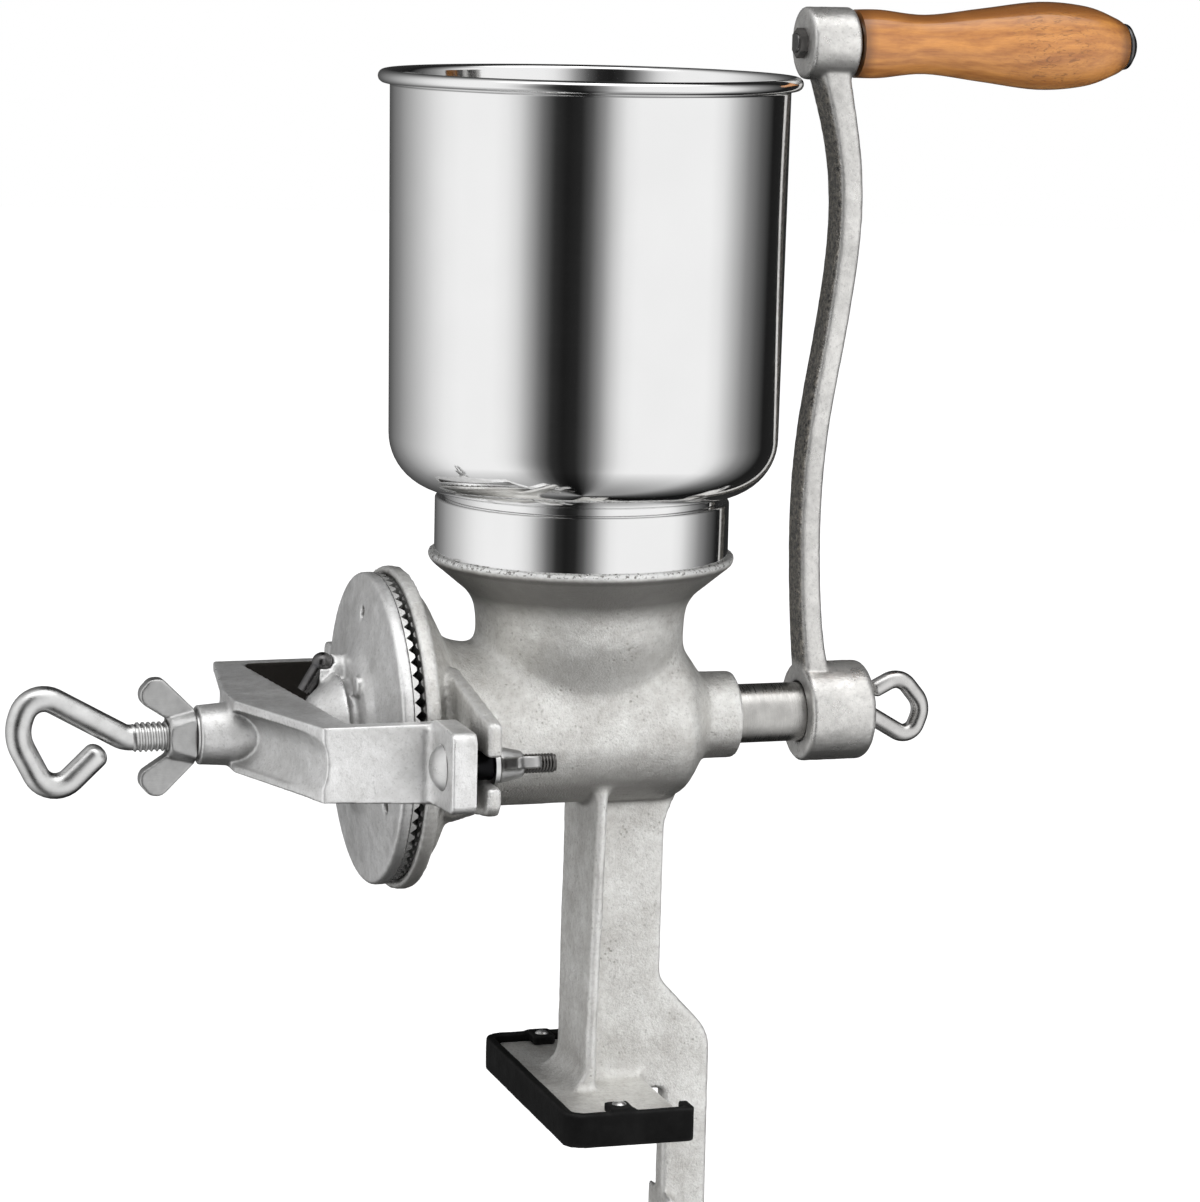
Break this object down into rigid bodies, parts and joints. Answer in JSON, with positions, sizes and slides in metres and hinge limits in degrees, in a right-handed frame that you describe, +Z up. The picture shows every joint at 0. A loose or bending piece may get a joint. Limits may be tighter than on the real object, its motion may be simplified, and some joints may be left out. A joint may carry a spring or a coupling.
{
  "type": "hand crank grain mill",
  "caption": "Table-clamp hand mill: steel hopper on a cast body with a worm shaft, toothed burr discs in a yoke with an adjusting screw, and a tall crank with a turned wooden grip.",
  "frame": {"origin": "on the table top under the crossing of the shaft axis and the hopper axis; the table top is z = 0", "axes": "+Z up along the hopper axis, +X along the shaft towards the crank, +Y to the rear"},
  "size_m": [0.3711, 0.1682, 0.5096],
  "materials": {
    "cast_iron": "satin tin-plated sand casting, fine grain",
    "cast_bright": "satin tin-plated casting with machined faces",
    "burr_iron": "ground cast teeth",
    "polished_steel": "mirror polished stainless sheet",
    "turned_steel": "turned steel",
    "crank_iron": "tin-plated casting with rough flanks",
    "zinc_steel": "zinc plated",
    "black_steel": "black oxide",
    "bright_steel": "nickel plated",
    "varnished_wood": "clear gloss varnish",
    "black_rubber": "matte"
  },
  "bodies": {
    "frame": {"main_body": "cast_iron", "fixed_burr": "burr_iron", "fixed_burr_screws": "black_steel", "yoke": "cast_bright", "yoke_bolt_front": "black_steel", "yoke_bolt_rear": "black_steel", "base_rubber": "black_rubber", "rubber_screws": "black_steel"},
    "hopper": {"hopper_bowl": "polished_steel", "hopper_neck": "polished_steel"},
    "thrust": {"thrust_ball": "turned_steel"},
    "crank": {"auger_shaft": "turned_steel", "rotor_disc": "cast_bright", "rotating_burr": "burr_iron", "rotating_burr_screws": "black_steel", "rotor_pin": "black_steel", "hub_screw": "black_steel", "crank_arm": "crank_iron", "crank_screw": "zinc_steel", "grip_axle": "bright_steel", "grip_nut": "black_steel", "grip_washer": "turned_steel"},
    "handle": {"grip": "varnished_wood"},
    "adjuster": {"adjusting_screw": "zinc_steel"},
    "lock_ring": {"lock_washer": "zinc_steel"},
    "lock_nut": {"lock_wing_nut": "zinc_steel"},
    "front_washer": {"yoke_washer_front": "zinc_steel"},
    "rear_washer": {"yoke_washer_rear": "zinc_steel"},
    "front_nut": {"yoke_wing_nut_front": "zinc_steel"},
    "rear_nut": {"yoke_wing_nut_rear": "zinc_steel"},
    "pad": {"clamp_pad": "zinc_steel"},
    "clamp": {"clamp_screw": "zinc_steel"}
  },
  "joints": [
    {"name": "hopper_lift", "type": "slide", "parent": "frame", "child": "hopper", "axis": [0, 0, 1], "range_m": [0, 0.06]},
    {"name": "burr_gap", "type": "slide", "parent": "frame", "child": "thrust", "axis": [-1, 0, 0], "range_m": [-0.0008, 0.002]},
    {"name": "crank_spin", "type": "hinge", "parent": "thrust", "child": "crank", "pos_m": [0.086, 0, 0.128], "axis": [1, 0, 0], "continuous": true},
    {"name": "grip_spin", "type": "hinge", "parent": "crank", "child": "handle", "pos_m": [0.1, 0, 0.3455], "axis": [1, 0, 0], "continuous": true},
    {"name": "adjust_turn", "type": "hinge", "parent": "thrust", "child": "adjuster", "pos_m": [-0.11, 0, 0.128], "axis": [-1, 0, 0], "range_deg": [-165, 412]},
    {"name": "lock_slide", "type": "slide", "parent": "frame", "child": "lock_ring", "axis": [-1, 0, 0], "range_m": [0, 0.005]},
    {"name": "lock_turn", "type": "hinge", "parent": "lock_ring", "child": "lock_nut", "pos_m": [-0.13, 0, 0.128], "axis": [-1, 0, 0], "range_deg": [-1, 1030]},
    {"name": "front_washer_slide", "type": "slide", "parent": "frame", "child": "front_washer", "axis": [1, 0, 0], "range_m": [0, 0.004]},
    {"name": "front_nut_turn", "type": "hinge", "parent": "front_washer", "child": "front_nut", "pos_m": [-0.045, -0.069, 0.1293], "axis": [1, 0, 0], "range_deg": [-1, 1442]},
    {"name": "rear_washer_slide", "type": "slide", "parent": "frame", "child": "rear_washer", "axis": [1, 0, 0], "range_m": [0, 0.004]},
    {"name": "rear_nut_turn", "type": "hinge", "parent": "rear_washer", "child": "rear_nut", "pos_m": [-0.045, 0.069, 0.1293], "axis": [1, 0, 0], "range_deg": [-1, 1442]},
    {"name": "clamp_travel", "type": "slide", "parent": "frame", "child": "pad", "axis": [0, 0, 1], "range_m": [0, 0.038]},
    {"name": "clamp_turn", "type": "hinge", "parent": "pad", "child": "clamp", "pos_m": [0.004, 0, -0.06], "axis": [0, 0, 1], "range_deg": [-1, 7820]}
  ],
  "couplings": [
    {"joint": "adjust_turn", "follows": "burr_gap", "rad_per_m": 3590.4},
    {"joint": "lock_turn", "follows": "lock_slide", "rad_per_m": 3590.4},
    {"joint": "front_nut_turn", "follows": "front_washer_slide", "rad_per_m": 6283.2},
    {"joint": "rear_nut_turn", "follows": "rear_washer_slide", "rad_per_m": 6283.2},
    {"joint": "clamp_turn", "follows": "clamp_travel", "rad_per_m": 3590.4}
  ]
}
